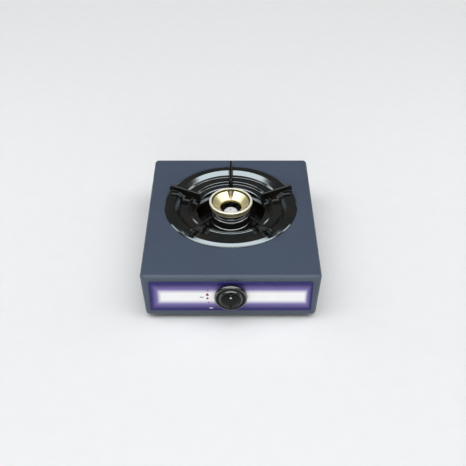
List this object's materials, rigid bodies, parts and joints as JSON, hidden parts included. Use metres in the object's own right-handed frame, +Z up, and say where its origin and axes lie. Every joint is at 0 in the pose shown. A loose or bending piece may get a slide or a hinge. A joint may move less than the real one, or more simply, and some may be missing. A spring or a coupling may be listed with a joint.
{
  "type": "gas stove",
  "caption": "Table-top single-burner gas stove with a pressed steel body, push-and-turn knob, brass burner cap, drip tray and lift-off pan support.",
  "frame": {"origin": "on the surface that the stove stands on, under the middle of its whole box from the knob to the hose nozzle", "axes": "+X to the right seen from the front, -Y towards the front with the knob, +Z up"},
  "size_m": [0.3, 0.3856, 0.119],
  "materials": {
    "body_paint": "blue-grey speckled non-stick coating, satin",
    "zinc_steel": "zinc-plated sheet steel",
    "fascia_print": "printed violet to white, gloss",
    "bakelite": "black bakelite, gloss",
    "pointer_white": "white paint",
    "bright_steel": "bright steel",
    "valve_alloy": "die-cast and drawn aluminium",
    "brass": "machined brass",
    "cast_iron": "black glossy paint over cast iron",
    "raw_iron": "bare cast iron",
    "enamel": "black vitreous enamel, gloss",
    "rubber": "black rubber",
    "ceramic": "glazed white ceramic",
    "igniter_plastic": "moulded plastic",
    "lead_sheath": "red silicone sheath"
  },
  "bodies": {
    "root": {"body_shell": "body_paint", "body_side_left": "body_paint", "body_side_right": "body_paint", "rear_panel": "body_paint", "rear_panel_screws": "zinc_steel", "front_rail": "zinc_steel", "rear_rail": "zinc_steel", "burner_bar": "zinc_steel", "foot_front_left": "rubber", "foot_front_right": "rubber", "foot_rear_left": "rubber", "foot_rear_right": "rubber", "fascia": "fascia_print", "valve_bonnet": "zinc_steel", "valve_screws": "zinc_steel", "valve_body": "valve_alloy", "igniter_housing": "igniter_plastic", "igniter_spring": "bright_steel", "piezo_element": "ceramic", "ignition_lead": "lead_sheath", "electrode_ceramic": "ceramic", "electrode_pin": "bright_steel", "electrode_clip": "zinc_steel", "inlet_pipe": "valve_alloy", "hose_nozzle": "brass", "nozzle_nut": "brass", "gas_jet": "brass", "mixing_tube": "raw_iron", "burner_bowl": "cast_iron", "burner_stand": "zinc_steel", "stand_screws": "zinc_steel", "centre_dome": "bright_steel"},
    "plug": {"valve_plug": "brass", "spindle_spring": "bright_steel"},
    "spindle": {"valve_spindle": "bright_steel", "knob": "bakelite", "knob_insert": "bright_steel", "knob_pointer": "pointer_white"},
    "hammer": {"igniter_hammer": "bright_steel"},
    "shutter": {"air_shutter": "zinc_steel"},
    "cap": {"burner_cap": "brass"},
    "tray": {"drip_tray": "enamel", "tray_floor": "enamel"},
    "pan_support": {"pan_ring": "enamel", "pan_arm_1": "enamel", "pan_arm_2": "enamel", "pan_arm_3": "enamel", "pan_arm_4": "enamel", "pan_arm_5": "enamel"}
  },
  "joints": [
    {"name": "knob_turn", "type": "hinge", "parent": "root", "child": "plug", "pos_m": [0, -0.17325, 0.0593], "axis": [0, -1, 0], "range_deg": [0, 150]},
    {"name": "knob_press", "type": "slide", "parent": "plug", "child": "spindle", "axis": [0, 1, 0], "range_m": [0, 0.0035], "stiffness_N_per_m": 1200, "springref_m": -0.002, "deforming": ["spindle_spring"]},
    {"name": "hammer_draw", "type": "slide", "parent": "root", "child": "hammer", "axis": [0, -1, 0], "range_m": [0, 0.006], "stiffness_N_per_m": 600, "springref_m": -0.002, "deforming": ["igniter_spring"]},
    {"name": "shutter_turn", "type": "hinge", "parent": "root", "child": "shutter", "pos_m": [0, -0.10725, 0.053], "axis": [0, -1, 0], "range_deg": [0, 45]},
    {"name": "cap_lift", "type": "slide", "parent": "root", "child": "cap", "axis": [0, 0, 1], "range_m": [0, 0.06]},
    {"name": "tray_lift", "type": "slide", "parent": "root", "child": "tray", "axis": [0, 0, 1], "range_m": [0, 0.06]},
    {"name": "pan_lift", "type": "slide", "parent": "tray", "child": "pan_support", "axis": [0, 0, 1], "range_m": [0, 0.06]}
  ]
}
